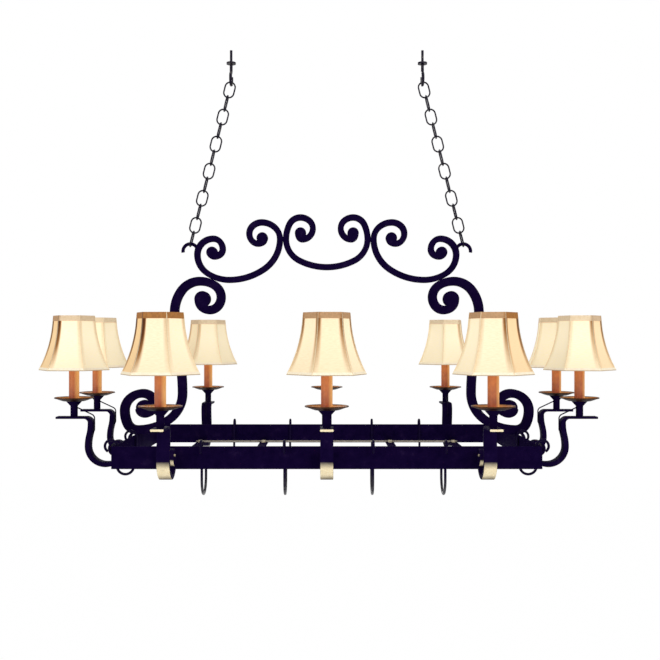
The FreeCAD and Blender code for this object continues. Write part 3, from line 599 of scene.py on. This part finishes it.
# The seam cords are painted dark where their rib's painted shadow is deep; the hem cord takes a fixed middle tone.
seam_cord, tree, shader, coords = new_finish("covered_seam_cord")
twist = noise(tree, coords, 300.0, 3.0)
rib_shadow_and_hem_tone = painted(tree, "rib_shadow_and_hem_tone")
pale = colour_ramp(tree, twist, [(0.3, (0.7, 0.57, 0.37)), (0.7, (0.84, 0.74, 0.54))])
fill_sockets(tree, shader, {
    "Base Color": blend(tree, rib_shadow_and_hem_tone, pale, (0.1, 0.03, 0.01, 1.0)),
    "Emission Color": blend(tree, rib_shadow_and_hem_tone, (0.6, 0.44, 0.22, 1.0), (0.02, 0.008, 0.002, 1.0)),
    "Emission Strength": 0.4,
    "Roughness": 0.8,
    "Normal": bump(tree, twist, 0.3, 0.0005)})

# Painted shade: the cream binding is painted deep brown by its shade layer, most on each lamp's outer side and at the
# ribs.
binding, tree, shader, coords = new_finish("folded_binding_with_painted_shade")
fold = noise(tree, coords, 240.0, 3.0)
pale = colour_ramp(tree, fold, [(0.3, (0.86, 0.7, 0.45)), (0.7, (0.93, 0.82, 0.6))])
deep = colour_ramp(tree, fold, [(0.3, (0.22, 0.075, 0.008)), (0.7, (0.36, 0.135, 0.016))])
fill_sockets(tree, shader, {
    "Base Color": blend(tree, painted(tree, "painted_side_shade"), pale, deep),
    "Roughness": 0.8,
    "Emission Color": (0.55, 0.24, 0.06, 1.0),
    "Emission Strength": 0.14,
    "Normal": bump(tree, fold, 0.3, 0.0007)})

hem, tree, shader, coords = new_finish("rolled_cream_hem")
fold = noise(tree, coords, 260.0, 3.0)
fill_sockets(tree, shader, {
    "Base Color": colour_ramp(tree, fold, [(0.3, (0.85, 0.74, 0.54)), (0.7, (0.93, 0.86, 0.7))]),
    "Roughness": 0.85,
    "Emission Color": (0.9, 0.72, 0.45, 1.0),
    "Emission Strength": 0.22,
    "Normal": bump(tree, fold, 0.3, 0.0007)})

seam_tree, seam_in = new_node_group("seam_cords", {"Thickness": "NodeSocketFloat"})
seam_path = place_node(seam_tree, "GeometryNodeMeshToCurve", {"Mesh": seam_in["Geometry"]})
seam_round = place_node(seam_tree, "GeometryNodeCurvePrimitiveCircle",
                        {"Resolution": 8, "Radius": seam_in["Thickness"]})
seam_tube = place_node(seam_tree, "GeometryNodeCurveToMesh",
                       {"Curve": seam_path.outputs[0], "Profile Curve": seam_round.outputs[0], "Fill Caps": True})
close_node_group(seam_tree, seam_tube.outputs[0], seam_cord)


def bell_radius(share):
    """Rib's distance from the lamp's axis: a smooth flare through the levels of the frame."""
    for index in range(len(bell_levels) - 1):
        (low, flare_low), (high, flare_high) = bell_levels[index], bell_levels[index + 1]
        if share <= high:
            step = (share - low) / (high - low)
            before = bell_levels[max(index - 1, 0)]
            after = bell_levels[min(index + 2, len(bell_levels) - 1)]
            slope_low = (flare_high - before[1]) / (high - before[0]) * (high - low)
            slope_high = (after[1] - flare_low) / (after[0] - low) * (high - low)
            flare = ((2 * step ** 3 - 3 * step ** 2 + 1) * flare_low + (step ** 3 - 2 * step ** 2 + step) * slope_low
                     + (3 * step ** 2 - 2 * step ** 3) * flare_high + (step ** 3 - step ** 2) * slope_high)
            return bell_high + (bell_low - bell_high) * flare
    return bell_high


def bell_point(turn, panel, across, share, growth=0.0, bow=cloth_bow):
    """Point of the cloth: between two ribs, drawn in a little in the middle of the panel."""
    radius = bell_radius(min(max(share, 0.0), 1.0)) + growth
    a, b = turn + panel_angle * panel, turn + panel_angle * (panel + 1)
    pull = bow * 4 * across * (1 - across) * math.sin(math.pi * min(max(share, 0.0), 1.0))
    x = (math.cos(a) * (1 - across) + math.cos(b) * across) * radius
    y = (math.sin(a) * (1 - across) + math.sin(b) * across) * radius
    size = math.hypot(x, y)
    return Vector((x * (1 - pull / size), y * (1 - pull / size), share * bell_height))


def outer_side(angle, side, low, high):
    """How far a direction points to the lamp's outer side, from none at low to all at high."""
    lean = side * math.cos(angle) if side else 0.42
    return max(0.0, min(1.0, (lean - low) / (high - low)))


def rib_fade(share):
    """How dark a rib's painted shadow is at a share of the height, most at the top."""
    return 0.06 + 0.94 * share ** 0.8


def shade_band(name, finish, place, turn, low, high, thick, painted_shade_of):
    """Folded band round the bell between two shares of its height, rounded at its edges."""
    section = [(low, 0.0), (low - band_roll, thick * 0.6), (low + band_shoulder, thick),
               (high - band_shoulder, thick), (high + band_roll, thick * 0.6), (high, 0.0)]
    verts, painted_shade_values = [], []
    for panel in range(panel_count):
        for step in range(band_steps):
            for share, out in section:
                verts.append(bell_point(turn, panel, step / band_steps, share, out, 0.0) + place)
                painted_shade_values.append(painted_shade_of(panel, step))
    mesh = bpy.data.meshes.new(name)
    mesh.from_pydata(verts, [], ring_faces(panel_count * band_steps, len(section)))
    mesh.attributes.new("painted_side_shade", "FLOAT", "POINT").data.foreach_set("value", painted_shade_values)
    mesh.materials.append(finish)
    shape = bmesh.new()
    shape.from_mesh(mesh)
    bmesh.ops.recalc_face_normals(shape, faces=shape.faces)
    shape.to_mesh(mesh)
    shape.free()
    smooth_faces(mesh, band_crease)
    return add_object(name, mesh)


bell_foot = pan_base + bell_rise
lamp_rows = (  # x, y, turn in degrees, outer side, painted shade of the binding, strength of the painted rib shadow
    (-outer_lamp_x, -front_lamp_y, 55.0, -1, 0.98, 1.0), (0.0, -front_lamp_y, 9.0, 0, 0.72, 0.62),
    (outer_lamp_x, -front_lamp_y, 50.0, 1, 0.76, 0.78), (-outer_lamp_x, front_lamp_y, 5.0, -1, 0.15, 0.35),
    (0.0, front_lamp_y, 20.0, 0, 0.4, 0.35), (outer_lamp_x, front_lamp_y, 17.0, 1, 0.1, 0.35),
    (-end_lamp_x, -end_lamp_y, 0.0, -1, 0.3, 0.8), (-end_lamp_x, end_lamp_y, 2.0, -1, 0.1, 0.5),
    (end_lamp_x, -end_lamp_y, 51.0, 1, 0.15, 0.6), (end_lamp_x, end_lamp_y, 22.0, 1, 0.2, 0.5))
for number, (lamp_x, lamp_y, degrees, side, painted_binding_shade, rib_strength) in enumerate(lamp_rows, start=1):
    place, turn = Vector((lamp_x, lamp_y, bell_foot)), math.radians(degrees)
    panel_ways = [turn + panel_angle * (panel + 0.5) for panel in range(panel_count)]
    # Painted shade on the outer panels; the front lamps' side panels get a stronger painted glow.
    panel_side_shade = [min(0.9, 1.1 * rib_strength) * outer_side(way, side, 0.35, 0.95) for way in panel_ways]
    panel_glow = [0.58 + 0.5 * abs(math.cos(way)) ** 2 if lamp_y == -front_lamp_y else 1.0 for way in panel_ways]
    rib_dark = [rib_strength * (0.22 + 0.78 * outer_side(turn + panel_angle * rib, side, 0.05, 0.5))
                for rib in range(panel_count + 1)]

    verts, faces, cloth_uv, glow_values, rib_values, side_shade_values = [], [], [], [], [], []
    for panel in range(panel_count):
        first = len(verts)
        for up in range(up_steps + 1):
            for step in range(across_steps + 1):
                across, share = step / across_steps, up / up_steps
                verts.append(bell_point(turn, panel, across, share) + place)
                cloth_uv.append((panel + cloth_edge + (1 - 2 * cloth_edge) * across, share))
                side_shade_values.append(panel_side_shade[panel] * (0.75 + 0.25 * share))
                rib_values.append(rib_dark[panel + (1 if across > 0.5 else 0)] * rib_fade(share))
                hot_spot = math.exp(-((share - 0.6) / 0.4) ** 2)
                glow_values.append(panel_glow[panel] * (0.75 + 0.25 * hot_spot) * (1 - 0.4 * panel_side_shade[panel]))
        for up in range(up_steps):
            for step in range(across_steps):
                corner = first + up * (across_steps + 1) + step
                faces.append((corner, corner + 1, corner + across_steps + 2, corner + across_steps + 1))
    mesh = bpy.data.meshes.new("shade_cloth_%02d" % number)
    mesh.from_pydata(verts, [], faces)
    uv_layer = mesh.uv_layers.new(name="cloth")
    for loop in mesh.loops:
        uv_layer.data[loop.index].uv = cloth_uv[loop.vertex_index]
    for layer_name, values in (("glow", glow_values), ("rib_shadow_and_hem_tone", rib_values), ("painted_side_shade", side_shade_values)):
        mesh.attributes.new(layer_name, "FLOAT", "POINT").data.foreach_set("value", values)
    mesh.materials.append(shade_cloth)
    smooth_faces(mesh)
    cloth = add_object("shade_cloth_%02d" % number, mesh)
    wall = cloth.modifiers.new("cloth_thickness", "SOLIDIFY")
    wall.thickness = cloth_wall
    wall.offset = -1.0

    seam_points, seam_lines, seam_shadow_values = [], [], []
    for rib in range(panel_count):
        for up in range(up_steps + 1):
            seam_points.append(bell_point(turn, rib, 0.0, up / up_steps, rib_cord_out) + place)
            seam_shadow_values.append(rib_dark[rib] * rib_fade(up / up_steps))
            if up:
                seam_lines.append((len(seam_points) - 2, len(seam_points) - 1))
    first = len(seam_points)
    for panel in range(panel_count):
        for step in range(band_steps):
            seam_points.append(bell_point(turn, panel, step / band_steps, hem_cord_up, hem_cord_out, 0.0) + place)
            seam_shadow_values.append(hem_cord_tone)
            seam_lines.append((len(seam_points) - 1, len(seam_points)))
    seam_lines[-1] = (seam_lines[-1][0], first)
    seam_mesh = bpy.data.meshes.new("seam_lines")
    seam_mesh.from_pydata(seam_points, seam_lines, [])
    seam_mesh.attributes.new("rib_shadow_and_hem_tone", "FLOAT", "POINT").data.foreach_set("value", seam_shadow_values)
    seams = baked_nodes("shade_seams_%02d" % number, seam_mesh, seam_tree, {"Thickness": cord_radius})

    def binding_shade_at(panel, step):
        """Painted shade on the binding: brown, deeper on the outer side and at the ribs."""
        at_rib = 0.7 * rib_dark[panel] if step == 0 else 0.0
        return min(1.0, painted_binding_shade + 0.6 * panel_side_shade[panel] + at_rib)

    top_band = shade_band("shade_binding_%02d" % number, binding, place, turn,
                          binding_from, binding_to, binding_thick, binding_shade_at)
    low_band = shade_band("shade_hem_%02d" % number, hem, place, turn,
                          hem_from, hem_to, hem_thick, lambda panel, step: 0.0)
    for piece in (cloth, seams, top_band, low_band):
        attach(piece, "lamp_shade_%02d" % number)
    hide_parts("shade_%02d" % number)
